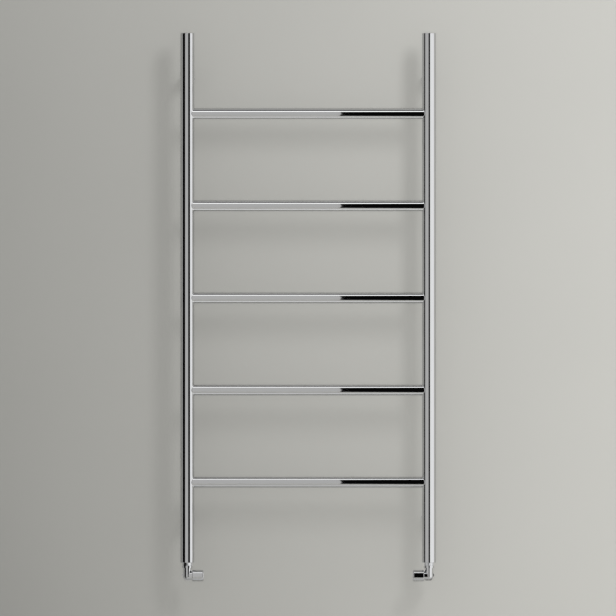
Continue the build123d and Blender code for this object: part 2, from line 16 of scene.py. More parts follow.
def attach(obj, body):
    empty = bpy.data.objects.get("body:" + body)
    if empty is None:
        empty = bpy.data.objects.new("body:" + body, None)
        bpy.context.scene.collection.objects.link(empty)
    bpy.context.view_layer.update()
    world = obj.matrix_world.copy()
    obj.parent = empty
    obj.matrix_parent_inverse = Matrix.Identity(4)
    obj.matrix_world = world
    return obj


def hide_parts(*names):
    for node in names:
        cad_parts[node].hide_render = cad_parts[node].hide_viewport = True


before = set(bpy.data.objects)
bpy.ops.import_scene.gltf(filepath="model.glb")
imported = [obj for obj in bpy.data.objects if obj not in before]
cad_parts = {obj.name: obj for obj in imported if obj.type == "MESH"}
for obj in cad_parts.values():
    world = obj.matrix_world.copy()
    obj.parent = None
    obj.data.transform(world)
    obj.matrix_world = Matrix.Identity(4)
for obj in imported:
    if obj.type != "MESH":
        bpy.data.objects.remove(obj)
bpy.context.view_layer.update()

LOG = logging.getLogger("towel_warmer")

Outline = list[tuple[float, float]]
Triple = tuple[float, float, float]

# Sizes of the pieces are in millimetres, and those of the studio in metres.
MM = 0.001
# Points nearer to each other than this are merged.
WELD = 0.001
# A point this near to a height or a radius counts as on it.
TOUCH = 0.01
# Edges of a nut or plug that turn by more than this, in degrees, are rounded.
NUT_CREASE = 50.0
# Edges of a finished piece that turn by more than this stay sharp.
SHARP = math.radians(38)
# No stretch along any axis.
EVEN: Triple = (1.0, 1.0, 1.0)
# Sockets of a Mix node for colours, which share their names with those for numbers.
MIX_SHARE, MIX_LOW, MIX_HIGH, MIX_RESULT = 0, 6, 7, 2


class Value:
    """A number socket of a node tree; arithmetic on it adds Math nodes."""

    def __init__(self, graph: "Graph", socket: bpy.types.NodeSocket) -> None:
        """Keep the socket and the tree it belongs to."""
        self.graph = graph
        self.socket = socket

    def _math(self, operation: str, *terms: Any) -> "Value":
        """Add a Math node.

        Args:
            operation: Blender's name of the operation.
            *terms: Its inputs in order, each a Value or a number.

        Returns:
            The result of the node.
        """
        node = self.graph.node("ShaderNodeMath", {"operation": operation}, dict(enumerate(terms)))
        return Value(self.graph, node.outputs[0])

    def __add__(self, other: Any) -> "Value":
        """Sum."""
        return self._math("ADD", self, other)

    def __radd__(self, other: Any) -> "Value":
        """Sum with a number on the left."""
        return self._math("ADD", other, self)

    def __sub__(self, other: Any) -> "Value":
        """Difference."""
        return self._math("SUBTRACT", self, other)

    def __rsub__(self, other: Any) -> "Value":
        """Difference from a number on the left."""
        return self._math("SUBTRACT", other, self)

    def __mul__(self, other: Any) -> "Value":
        """Product."""
        return self._math("MULTIPLY", self, other)

    def __rmul__(self, other: Any) -> "Value":
        """Product with a number on the left."""
        return self._math("MULTIPLY", other, self)

    def at_most(self, limit: Any) -> "Value":
        """The smaller of this and a limit."""
        return self._math("MINIMUM", self, limit)

    def at_least(self, limit: Any) -> "Value":
        """The larger of this and a limit."""
        return self._math("MAXIMUM", self, limit)

    def below(self, limit: Any) -> "Value":
        """1 where this is less than a limit, and 0 elsewhere."""
        return self._math("LESS_THAN", self, limit)

    def step(self, low: float, high: float) -> "Value":
        """Rise smoothly from 0 to 1 between two levels.

        Args:
            low: Level at which the result leaves 0.
            high: Level at which the result reaches 1.

        Returns:
            The eased share.
        """
        settings = {"interpolation_type": "SMOOTHSTEP"}
        inputs = {"Value": self, "From Min": low, "From Max": high}
        node = self.graph.node("ShaderNodeMapRange", settings, inputs)
        return Value(self.graph, node.outputs["Result"])


class Graph:
    """The node tree of one material or world, emptied and ready to build."""

    def __init__(self, tree: bpy.types.NodeTree) -> None:
        """Clear the tree."""
        self.tree = tree
        tree.nodes.clear()

    def node(self, kind: str, settings: dict[str, Any] | None = None,
             inputs: dict[Any, Any] | None = None) -> bpy.types.Node:
        """Add a node.

        Args:
            kind: Blender's type name of the node.
            settings: Its own properties, set first.
            inputs: Values or links of its sockets, by name or number.

        Returns:
            The new node.
        """
        node = self.tree.nodes.new(kind)
        for name, value in (settings or {}).items():
            setattr(node, name, value)
        for name, value in (inputs or {}).items():
            socket = node.inputs[name]
            source = value.socket if isinstance(value, Value) else value
            if isinstance(source, bpy.types.NodeSocket):
                self.tree.links.new(source, socket)
            else:
                socket.default_value = source
        return node

    def place(self, stretch: Triple = EVEN) -> bpy.types.NodeSocket:
        """Object coordinates, stretched.

        Args:
            stretch: Scale along each axis.

        Returns:
            The vector socket.
        """
        coordinates = self.node("ShaderNodeTexCoord").outputs["Object"]
        inputs = {"Vector": coordinates, "Scale": stretch}
        return self.node("ShaderNodeMapping", None, inputs).outputs["Vector"]

    def noise(self, scale: float, detail: float = 2.0, stretch: Triple = EVEN) -> Value:
        """Soft noise on Object coordinates.

        Args:
            scale: Features to the metre.
            detail: Octaves of finer noise.
            stretch: Scale along each axis before the noise.

        Returns:
            The noise, from 0 to 1.
        """
        inputs = {"Vector": self.place(stretch), "Scale": scale, "Detail": detail}
        return Value(self, self.node("ShaderNodeTexNoise", None, inputs).outputs[0])

    def cells(self, scale: float) -> Value:
        """Cell pattern on Object coordinates.

        Args:
            scale: Cells to the metre.

        Returns:
            The distance to the middle of the nearest cell.
        """
        inputs = {"Vector": self.place(), "Scale": scale}
        return Value(self, self.node("ShaderNodeTexVoronoi", None, inputs).outputs["Distance"])

    def blend(self, share: Value, low: Triple, high: Triple) -> bpy.types.NodeSocket:
        """Mix two colours.

        Args:
            share: 0 gives the first colour and 1 the second.
            low: First colour, linear.
            high: Second colour, linear.

        Returns:
            The mixed colour.
        """
        settings = {"data_type": "RGBA", "clamp_factor": True}
        inputs = {MIX_SHARE: share, MIX_LOW: (*low, 1.0), MIX_HIGH: (*high, 1.0)}
        return self.node("ShaderNodeMix", settings, inputs).outputs[MIX_RESULT]

    def bump(self, height: Value, depth: float, strength: float = 1.0) -> bpy.types.NodeSocket:
        """Relief of the surface.

        Args:
            height: Height from 0 to 1.
            depth: Height in metres that 1 stands for.
            strength: Share of the relief that shows.

        Returns:
            The bent normal.
        """
        inputs = {"Height": height, "Distance": depth, "Strength": strength}
        return self.node("ShaderNodeBump", None, inputs).outputs["Normal"]

    def surface(self, shader: bpy.types.NodeSocket) -> None:
        """Join a shader to the material output."""
        self.node("ShaderNodeOutputMaterial", None, {"Surface": shader})


@dataclass(frozen=True)
class Finish(ABC):
    """A surface finish with two tones, a range of roughness and a fine relief, whose depth is in metres."""

    name: str
    dark: Triple
    light: Triple
    smooth: float
    rough: float
    metallic: float = 1.0
    relief: float = 4e-6

    @abstractmethod
    def pattern(self, graph: Graph) -> tuple[Value, Value, Value]:
        """The finish's own pattern.

        Args:
            graph: Tree to build in.

        Returns:
            Tone share, roughness share and relief height.
        """

    def material(self) -> bpy.types.Material:
        """The finish as a material, made once.

        Returns:
            The node material.
        """
        made = bpy.data.materials.get(self.name)
        if made is not None:
            return made
        made = bpy.data.materials.new(self.name)
        made.use_nodes = True
        graph = Graph(made.node_tree)
        tone, polish, height = self.pattern(graph)
        inputs = {
            "Base Color": graph.blend(tone, self.dark, self.light),
            "Roughness": polish * (self.rough - self.smooth) + self.smooth,
            "Metallic": self.metallic,
            "Normal": graph.bump(height, self.relief),
        }
        graph.surface(graph.node("ShaderNodeBsdfPrincipled", None, inputs).outputs["BSDF"])
        made.diffuse_color = (*self.light, 1.0)
        return made


@dataclass(frozen=True)
class TurnedMetal(Finish):
    """Bare turned metal with a slow mottle and a fine grain."""

    mottle_scale: float = 60.0
    grain_scale: float = 2500.0
    mottle_share: float = 0.6

    def pattern(self, graph: Graph) -> tuple[Value, Value, Value]:
        """Mottle with a grain over it.

        Args:
            graph: Tree to build in.

        Returns:
            Tone share, roughness share and relief height.
        """
        mottle = graph.noise(self.mottle_scale, detail=4.0)
        grain = graph.noise(self.grain_scale, detail=3.0)
        return mottle, mottle * self.mottle_share + grain * (1.0 - self.mottle_share), grain


@dataclass(frozen=True)
class ChromePlate(Finish):
    """Bright plate polished along the piece, with a thin haze and a few wiped marks."""

    relief: float = 2e-7
    lay: Triple = EVEN
    line_scale: float = 900.0
    line_share: float = 0.25
    haze_scale: float = 14.0
    haze_share: float = 0.45
    haze_tone: float = 0.7
    wipe_scale: float = 55.0
    wipe_share: float = 0.3
    wipe_levels: tuple[float, float] = (0.62, 0.8)

    def pattern(self, graph: Graph) -> tuple[Value, Value, Value]:
        """Polish lines along the lay, haze, and marks left by a cloth.

        Args:
            graph: Tree to build in.

        Returns:
            Tone share, roughness share and relief height.
        """
        lines = graph.noise(self.line_scale, stretch=self.lay)
        haze = graph.noise(self.haze_scale, detail=3.0)
        wiped = graph.noise(self.wipe_scale, stretch=self.lay).step(*self.wipe_levels)
        share = haze * self.haze_share + lines * self.line_share + wiped * self.wipe_share
        return 1.0 - haze * self.haze_tone, share.at_most(1.0), lines


@dataclass(frozen=True)
class SpangledZinc(Finish):
    """Zinc on steel, with small crystals of different tone."""

    crystal_scale: float = 900.0
    crystal_tone: float = 0.8
    crystal_relief: float = 0.4
    grain_scale: float = 3000.0

    def pattern(self, graph: Graph) -> tuple[Value, Value, Value]:
        """Crystals with a fine grain over them.

        Args:
            graph: Tree to build in.

        Returns:
            Tone share, roughness share and relief height.
        """
        crystals = graph.cells(self.crystal_scale)
        grain = graph.noise(self.grain_scale, detail=3.0)
        tone = crystals * self.crystal_tone + grain * (1.0 - self.crystal_tone)
        return tone, grain, crystals * self.crystal_relief + grain * (1.0 - self.crystal_relief)


@dataclass(frozen=True)
class GrainedPlastic(Finish):
    """Moulded plastic or rubber with a fine pebbled grain."""

    metallic: float = 0.0
    relief: float = 1.5e-5
    pebble_scale: float = 2200.0
    pebble_share: float = 0.5
    cloud_scale: float = 90.0

    def pattern(self, graph: Graph) -> tuple[Value, Value, Value]:
        """Pebbles and a slow change of tone.

        Args:
            graph: Tree to build in.

        Returns:
            Tone share, roughness share and relief height.
        """
        pebbles = graph.cells(self.pebble_scale)
        cloud = graph.noise(self.cloud_scale, detail=3.0)
        return cloud, cloud * (1.0 - self.pebble_share) + pebbles * self.pebble_share, pebbles


TUBE_TONES = ((0.742, 0.750, 0.760), (0.790, 0.794, 0.800))
TUBE_POLISH = (0.015, 0.045)
DRAWN_OUT = 0.02
TUBE_CHROME_UP = ChromePlate("tube_chrome_up", *TUBE_TONES, *TUBE_POLISH, lay=(1.0, 1.0, DRAWN_OUT))
TUBE_CHROME_ACROSS = ChromePlate("tube_chrome_across", *TUBE_TONES, *TUBE_POLISH, lay=(DRAWN_OUT, 1.0, 1.0))
FITTING_CHROME = ChromePlate("fitting_chrome", (0.735, 0.744, 0.755), (0.785, 0.790, 0.797), 0.030, 0.085,
                             lay=(0.5, 0.5, 0.5))
TURNED_BRASS = TurnedMetal("turned_brass", (0.560, 0.390, 0.165), (0.790, 0.600, 0.300), 0.22, 0.42)
SLOT_FINISHES: dict[str, Finish] = {
    "chrome_tube": TUBE_CHROME_UP,
    "chrome_fitting": FITTING_CHROME,
    "bare_brass": TURNED_BRASS,
    "soft_copper": TurnedMetal("soft_copper_ring", (0.560, 0.260, 0.165), (0.860, 0.480, 0.340), 0.25, 0.45),
    "plated_steel": SpangledZinc("zinc_steel", (0.500, 0.510, 0.530), (0.680, 0.690, 0.710), 0.28, 0.48),
    "seal_rubber": GrainedPlastic("seal_rubber_black", (0.012, 0.012, 0.013), (0.026, 0.026, 0.028),
                                  0.55, 0.75),
    "black_plastic": GrainedPlastic("hub_plastic", (0.022, 0.022, 0.024), (0.042, 0.042, 0.045), 0.38, 0.56),
}


class Axis(Enum):
    """Direction that a turned piece lies along: the turn that carries +Z there, in degrees, and its pivot."""

    X = (90, "Y")
    X_BACK = (-90, "Y")
    Y = (-90, "X")
    Z = (0, "Z")

    def turn(self) -> Matrix:
        """The turn that carries +Z on to the direction."""
        degrees, pivot = self.value
        return Matrix.Rotation(math.radians(degrees), 4, pivot)


class Side(Enum):
    """Which post a piece belongs to."""

    LEFT = -1
    RIGHT = 1

    @property
    def word(self) -> str:
        """The side in a node's name."""
        return self.name.lower()

    @property
    def loop(self) -> str:
        """The water loop of the side's valve in a node's name."""
        return "flow" if self is Side.LEFT else "return"

    @property
    def inward(self) -> Axis:
        """Direction from this post to the other one."""
        return Axis.X if self is Side.LEFT else Axis.X_BACK


class Shape:
    """A mesh under construction, in millimetres, shaped with bmesh operators."""

    def __init__(self) -> None:
        """Start with an empty mesh."""
        self.mesh = bmesh.new()

    @classmethod
    def turned(cls, outline: Outline, segments: int = 96) -> "Shape":
        """Spin a section a full turn about Z.

        Args:
            outline: Points as (height, radius) in order. A section that starts and ends on the axis
                stays open there, and any other is closed.
            segments: Faces round the turn.

        Returns:
            The turned shape.
        """
        shape = cls()
        mesh = shape.mesh
        points = [mesh.verts.new((radius, 0.0, height)) for height, radius in outline]
        on_axis = outline[0][1] == 0.0 and outline[-1][1] == 0.0
        nexts = points[1:] if on_axis else points[1:] + points[:1]
        edges = [mesh.edges.new(pair) for pair in zip(points, nexts)]
        bmesh.ops.spin(mesh, geom=points + edges, cent=(0, 0, 0), axis=(0, 0, 1), angle=2 * math.pi,
                       steps=segments, use_merge=True, use_duplicate=False)
        bmesh.ops.remove_doubles(mesh, verts=mesh.verts, dist=WELD)
        bmesh.ops.recalc_face_normals(mesh, faces=mesh.faces)
        return shape

    @classmethod
    def drill(cls, radius: float, ends: tuple[float, float], segments: int = 48) -> "Shape":
        """A cutter for a round hole up through the underside of a wall.

        Args:
            radius: Radius of the hole.
            ends: Depths of its outer and inner end below the origin, past both faces of the wall.
            segments: Faces round the hole.

        Returns:
            The cutter.
        """
        low, high = -ends[0], -ends[1]
        return cls.turned([(low, 0.0), (low, radius), (high, radius), (high, 0.0)], segments)

    def ease(self, width: float, segments: int = 3, above: float = 30.0,
             where: Callable[[Vector], bool] | None = None) -> "Shape":
        """Round the edges that turn by more than an angle.

        Args:
            width: How far the rounding reaches from the edge.
            segments: Faces across the rounding.
            above: Smallest turn of an edge that is rounded, in degrees.
            where: Test of an edge's middle, or None for every edge.

        Returns:
            This shape.
        """
        limit = math.radians(above)
        chosen = []
        for edge in self.mesh.edges:
            middle = (edge.verts[0].co + edge.verts[1].co) / 2
            if edge.is_manifold and edge.calc_face_angle() > limit and (where is None or where(middle)):
                chosen.append(edge)
        bmesh.ops.bevel(self.mesh, geom=chosen, offset=width, offset_type="OFFSET", segments=segments,
                        profile=0.5, affect="EDGES", clamp_overlap=True, material=-1)
        return self

    def moved(self, at: Triple, axis: Axis = Axis.Z) -> "Shape":
        """Turn the shape from +Z to an axis and carry it to a place.

        Args:
            at: Where the origin goes.
            axis: Where +Z points.

        Returns:
            This shape.
        """
        bmesh.ops.transform(self.mesh, matrix=Matrix.Translation(at) @ axis.turn(), verts=self.mesh.verts)
        return self

    def cut(self, tool: "Shape") -> "Shape":
        """Take another shape away from this one.

        Args:
            tool: The shape to take away, which is used up.

        Returns:
            This shape.
        """
        work, cutter = self._loose("work"), tool._loose("cutter")
        step = work.modifiers.new("cut", "BOOLEAN")
        step.operation, step.solver, step.object = "DIFFERENCE", "EXACT", cutter
        result = work.evaluated_get(bpy.context.evaluated_depsgraph_get()).to_mesh()
        self.mesh = bmesh.new()
        self.mesh.from_mesh(result)
        for spare in (work, cutter):
            mesh = spare.data
            bpy.data.objects.remove(spare)
            bpy.data.meshes.remove(mesh)
        bmesh.ops.recalc_face_normals(self.mesh, faces=self.mesh.faces)
        return self

    def _loose(self, name: str) -> bpy.types.Object:
        """Hand the mesh to a new object, and free it.

        Args:
            name: Name of the object.

        Returns:
            The object, in the scene.
        """
        data = bpy.data.meshes.new(name)
        self.mesh.to_mesh(data)
        self.mesh.free()
        made = bpy.data.objects.new(name, data)
        bpy.context.scene.collection.objects.link(made)
        return made

    def piece(self, name: str, finish: Finish, body: str, slot: str, *nodes: str) -> bpy.types.Object:
        """Make the shape a finished piece of the part.

        Args:
            name: Name of the piece.
            finish: Its finish.
            body: Body that it moves with.
            slot: Material slot of the record; not used.
            *nodes: Nodes that it stands for.

        Returns:
            The piece.
        """
        mesh = self.mesh
        bmesh.ops.transform(mesh, matrix=Matrix.Scale(MM, 4), verts=mesh.verts)
        for face in mesh.faces:
            face.smooth = True
        for edge in mesh.edges:
            edge.smooth = edge.is_manifold and edge.calc_face_angle() < SHARP
        made = self._loose(name)
        made.data.materials.append(finish.material())
        even = made.modifiers.new("even_normals", "WEIGHTED_NORMAL")
        even.keep_sharp = True
        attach(made, body)
        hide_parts(*nodes)
        LOG.info("%s: %d faces, rides on %s", name, len(made.data.polygons), body)
        return made


@dataclass(frozen=True)
class Flats:
    """Flats round a nut or a screw head, with the corners turned to a cone at both ends.

    The angle of one corner is in degrees, and soften is the radius of the upright corners.
    """

    sides: int
    across: float
    low: float
    high: float
    chamfer: float
    corner: float
    soften: float
    rings: int = 5

    @property
    def half(self) -> float:
        """Angle from a corner to the middle of a flat."""
        return math.pi / self.sides

    @property
    def tip(self) -> float:
        """Distance of a sharp corner from the axis."""
        return self.across / 2 / math.cos(self.half)

    def flank(self) -> Outline:
        """Round outside before it gets its flats, with rings where the corners are turned.

        Returns:
            Points from the lower end to the upper one.
        """
        rises = [self.chamfer * ring / self.rings for ring in range(self.rings + 1)]
        heights = [self.low + rise for rise in rises] + [self.high - rise for rise in reversed(rises)]
        return [(height, self.tip) for height in heights]

    def press(self, shape: Shape) -> Shape:
        """Draw the round outside of a shape in to the flats.

        Args:
            shape: A shape that was turned with the flank in its section.

        Returns:
            The same shape.
        """
        flat = self.across / 2
        hub = (flat - self.soften) / math.cos(self.half)
        for vertex in shape.mesh.verts:
            radius = vertex.co.xy.length
            end = min(vertex.co.z - self.low, self.high - vertex.co.z)
            if end < -TOUCH or radius < self.tip - TOUCH:
                continue
            angle = math.atan2(vertex.co.y, vertex.co.x) - math.radians(self.corner)
            from_corner = (angle + self.half) % (2 * self.half) - self.half
            reach = flat / math.cos(self.half - abs(from_corner))
            off = hub * math.sin(from_corner)
            if abs(off) < self.soften:
                reach = min(reach, hub * math.cos(from_corner) + math.sqrt(self.soften ** 2 - off * off))
            vertex.co.xy *= min(reach, self.tip - max(0.0, self.chamfer - end)) / radius
        return shape


@dataclass
class Posts:
    """Two upright tubes with their end pieces."""

    spacing: float = 548.0
    standoff: float = 75.0
    height: float = 1200.0
    outer: float = 15.95
    inner: float = 14.5
    rim: float = 0.6
    cap: float = 6.0
    bush: float = 20.0
    bush_bore: float = 10.05
    seam: float = 0.18
    segments: int = 160

    def at(self, side: Side) -> Triple:
        """Middle of a post's axis."""
        return side.value * self.spacing / 2, -self.standoff, 0.0

    def tube(self, side: Side) -> None:
        """Build one post.

        Args:
            side: Which post.
        """
        top = self.height / 2
        section = [(-top, self.outer), (top, self.outer), (top, self.inner), (-top, self.inner)]
        shape = Shape.turned(section, self.segments)
        shape.ease(self.rim, segments=5, where=lambda mid: mid.xy.length > self.outer - TOUCH)
        node = f"{side.word}_post"
        shape.moved(self.at(side)).piece(f"{node}_tube", TUBE_CHROME_UP, "rack", "chrome_tube", node)

    def ends(self, side: Side) -> None:
        """Build the cap at the top of a post and the bush at its foot.

        Args:
            side: Which post.
        """
        top, foot = self.height / 2, -self.height / 2
        low, high = top - self.cap, foot + self.bush
        disc = [(top, 0.0), (top, self.inner), (low, self.inner), (low, 0.0)]
        ring = [(foot, self.bush_bore), (foot, self.inner), (high, self.inner), (high, self.bush_bore)]
        for section, node, form in ((disc, f"{side.word}_top_cap", "disc"),
                                    (ring, f"{side.word}_foot_bush", "ring")):
            shape = Shape.turned(section, self.segments).ease(self.seam).moved(self.at(side))
            shape.piece(f"{node}_{form}", TUBE_CHROME_UP, "rack", "chrome_tube", node)

    def build(self) -> None:
        """Build both posts and dress them."""
        for side in Side:
            self.tube(side)
            self.ends(side)


@dataclass
class Rails:
    """Five cross tubes whose ends flare on to the posts."""

    posts: Posts
    count: int = 5
    pitch: float = 209.0
    outer: float = 12.5
    inner: float = 11.3
    fillet: float = 0.8
    fillet_steps: int = 6
    sink: float = 0.06
    segments: int = 144

    def section(self) -> Outline:
        """Section of a rail as if the posts were flat.

        Returns:
            Points along the rail, outside and then inside.
        """
        half = self.posts.spacing / 2 - self.posts.outer + self.sink
        flare = []
        for step in range(self.fillet_steps + 1):
            angle = math.pi / 2 * step / self.fillet_steps
            along = half - self.fillet * (1 - math.sin(angle))
            flare.append((along, self.outer + self.fillet * (1 - math.cos(angle))))
        mirrored = [(-along, radius) for along, radius in reversed(flare)]
        return mirrored + flare + [(half, self.inner), (-half, self.inner)]

    def coped(self, shape: Shape) -> Shape:
        """Shape the ends of a rail to the round posts.

        Args:
            shape: A rail that lies along X, with flat ends.

        Returns:
            The same shape.
        """
        radius = self.posts.outer
        for vertex in shape.mesh.verts:
            depth = radius - math.sqrt(radius * radius - vertex.co.y ** 2)
            vertex.co.x += math.copysign(depth, vertex.co.x)
        return shape

    def build(self) -> None:
        """Build the rails from the top down and dress them."""
        for index in range(self.count):
            height = ((self.count - 1) / 2 - index) * self.pitch
            shape = self.coped(Shape.turned(self.section(), self.segments).moved((0.0, 0.0, 0.0), Axis.X))
            shape.moved((0.0, -self.posts.standoff, height))
            node = f"rail_{index + 1}"
            shape.piece(f"{node}_tube", TUBE_CHROME_ACROSS, "rack", "chrome_tube", node)


@dataclass
class Brackets:
    """Round arms between the posts and the wall, and the flanged cups that hold them."""

    posts: Posts
    height: float = 500.0
    stud: float = 4.0
    arm: float = 9.0
    stud_end: float = -67.0
    shoulder: float = -58.0
    arm_end: float = -10.0
    cup: float = 12.0
    cup_bore: float = 9.1
    cup_floor: float = -6.0
    mouth: float = -40.0
    mouth_round: float = 0.8
    flange: float = 15.0
    flange_front: float = -3.0
    wall_hole: float = 2.75
    wall_sink: float = 5.25
    grub: float = 2.5
    grub_ends: tuple[float, float] = (13.0, 8.1)
    grub_place: float = -18.0
    edge: float = 0.4
    cup_segments: int = 128

    def bar(self) -> Shape:
        """Shape of an arm along +Z, with the wall at the origin.

        Returns:
            The arm.
        """
        section = [(self.stud_end, 0.0), (self.stud_end, self.stud), (self.shoulder, self.stud),
                   (self.shoulder, self.arm), (self.arm_end, self.arm), (self.arm_end, 0.0)]
        return Shape.turned(section).ease(self.edge)

    def socket(self) -> Shape:
        """Shape of a wall cup along +Z, with the wall at the origin.

        Returns:
            The cup.
        """
        sunk = self.cup_floor + self.wall_sink - self.wall_hole
        section = [(0.0, self.wall_hole), (0.0, self.flange), (self.flange_front, self.flange),
                   (self.flange_front, self.cup), (self.mouth, self.cup), (self.mouth, self.cup_bore),
                   (self.cup_floor, self.cup_bore), (self.cup_floor, self.wall_sink), (sunk, self.wall_hole)]

        def on_mouth(mid: Vector) -> bool:
            """Whether an edge runs round the outside of the mouth."""
            return mid.z < self.mouth + TOUCH and mid.xy.length > self.cup - TOUCH

        shape = Shape.turned(section, self.cup_segments).ease(self.mouth_round, segments=4, where=on_mouth)
        return shape.ease(self.edge, where=lambda mid: mid.xy.length > self.flange - TOUCH)

    def build(self) -> None:
        """Build the four brackets and dress them."""
        for level, sign in (("upper", 1), ("lower", -1)):
            for side in Side:
                x, z = self.posts.at(side)[0], sign * self.height
                node = f"{level}_{side.word}_arm"
                arm = self.bar().moved((x, 0.0, z), Axis.Y)
                arm.piece(f"{node}_bar", FITTING_CHROME, "rack", "chrome_fitting", node)
                node = f"{level}_{side.word}_socket"
                hole = Shape.drill(self.grub, self.grub_ends).moved((x, self.grub_place, z))
                cup = self.socket().moved((x, 0.0, z), Axis.Y).cut(hole)
                cup.piece(f"{node}_cup", FITTING_CHROME, "rack", "chrome_fitting", node)


@dataclass
class Vent:
    """Air vent at the back of the right post: welded bush, hexagon plug and square screw."""

    posts: Posts
    height: float = 555.0
    bush: float = 9.0
    bush_bore: float = 6.5
    bush_front: float = 6.0
    bush_back: float = 18.0
    bush_edge: float = 0.24
    thread: float = 6.45
    thread_front: float = 9.0
    plug_flats: Flats = Flats(sides=6, across=17.1, low=19.5, high=24.5, chamfer=0.9, corner=0.0, soften=0.6)
    plug_edge: float = 0.12
    plug_segments: int = 144
    seat: float = 12.0
    seat_bore: float = 1.5
    screw_bore: float = 3.05
    outlet: float = 0.8
    outlet_ends: tuple[float, float] = (17.1, 2.55)
    outlet_segments: int = 32
    screw: float = 3.0
    screw_tip: float = 12.05
    tip_edge: float = 0.8
    screw_flats: Flats = Flats(sides=4, across=5.0, low=25.5, high=30.5, chamfer=0.5, corner=45.0, soften=0.4)

    @property
    def place(self) -> Triple:
        """Crossing of the post axis and the vent axis."""
        x, y, _ = self.posts.at(Side.RIGHT)
        return x, y, self.height

    def ring(self) -> None:
        """Build the bush that the post carries."""
        section = [(self.bush_front, self.bush_bore), (self.bush_front, self.bush),
                   (self.bush_back, self.bush), (self.bush_back, self.bush_bore)]
        shape = Shape.turned(section).ease(self.bush_edge).moved(self.place, Axis.Y)
        shape.piece("vent_bush_ring", TUBE_CHROME_UP, "rack", "chrome_tube", "vent_bush")

    def plug(self) -> None:
        """Build the plug with its stepped hole and the outlet in its underside."""
        flats = self.plug_flats
        section = [(self.thread_front, self.seat_bore), (self.thread_front, self.thread),
                   (flats.low, self.thread)]
        section += flats.flank()
        section += [(flats.high, self.screw_bore), (self.seat, self.screw_bore), (self.seat, self.seat_bore)]
        shape = flats.press(Shape.turned(section, self.plug_segments))
        shape.ease(self.plug_edge, segments=2, above=NUT_CREASE).moved(self.place, Axis.Y)
        x, y, z = self.place
        hole = Shape.drill(self.outlet, self.outlet_ends, self.outlet_segments)
        shape.cut(hole.moved((x, y + (flats.low + flats.high) / 2, z)))
        shape.piece("vent_plug_hex", FITTING_CHROME, "rack", "chrome_fitting", "vent_plug")

    def bleeder(self) -> None:
        """Build the square-headed screw."""
        flats = self.screw_flats
        section = [(self.screw_tip, 0.0), (self.screw_tip, self.screw - self.tip_edge),
                   (self.screw_tip + self.tip_edge, self.screw), (flats.low, self.screw)]
        section += flats.flank() + [(flats.high, 0.0)]
        shape = flats.press(Shape.turned(section)).moved(self.place, Axis.Y)
        shape.piece("bleed_screw_square", TURNED_BRASS, "bleeder", "bare_brass", "bleed_screw")

    def build(self) -> None:
        """Build the vent and dress it."""
        self.ring()
        self.plug()
        self.bleeder()


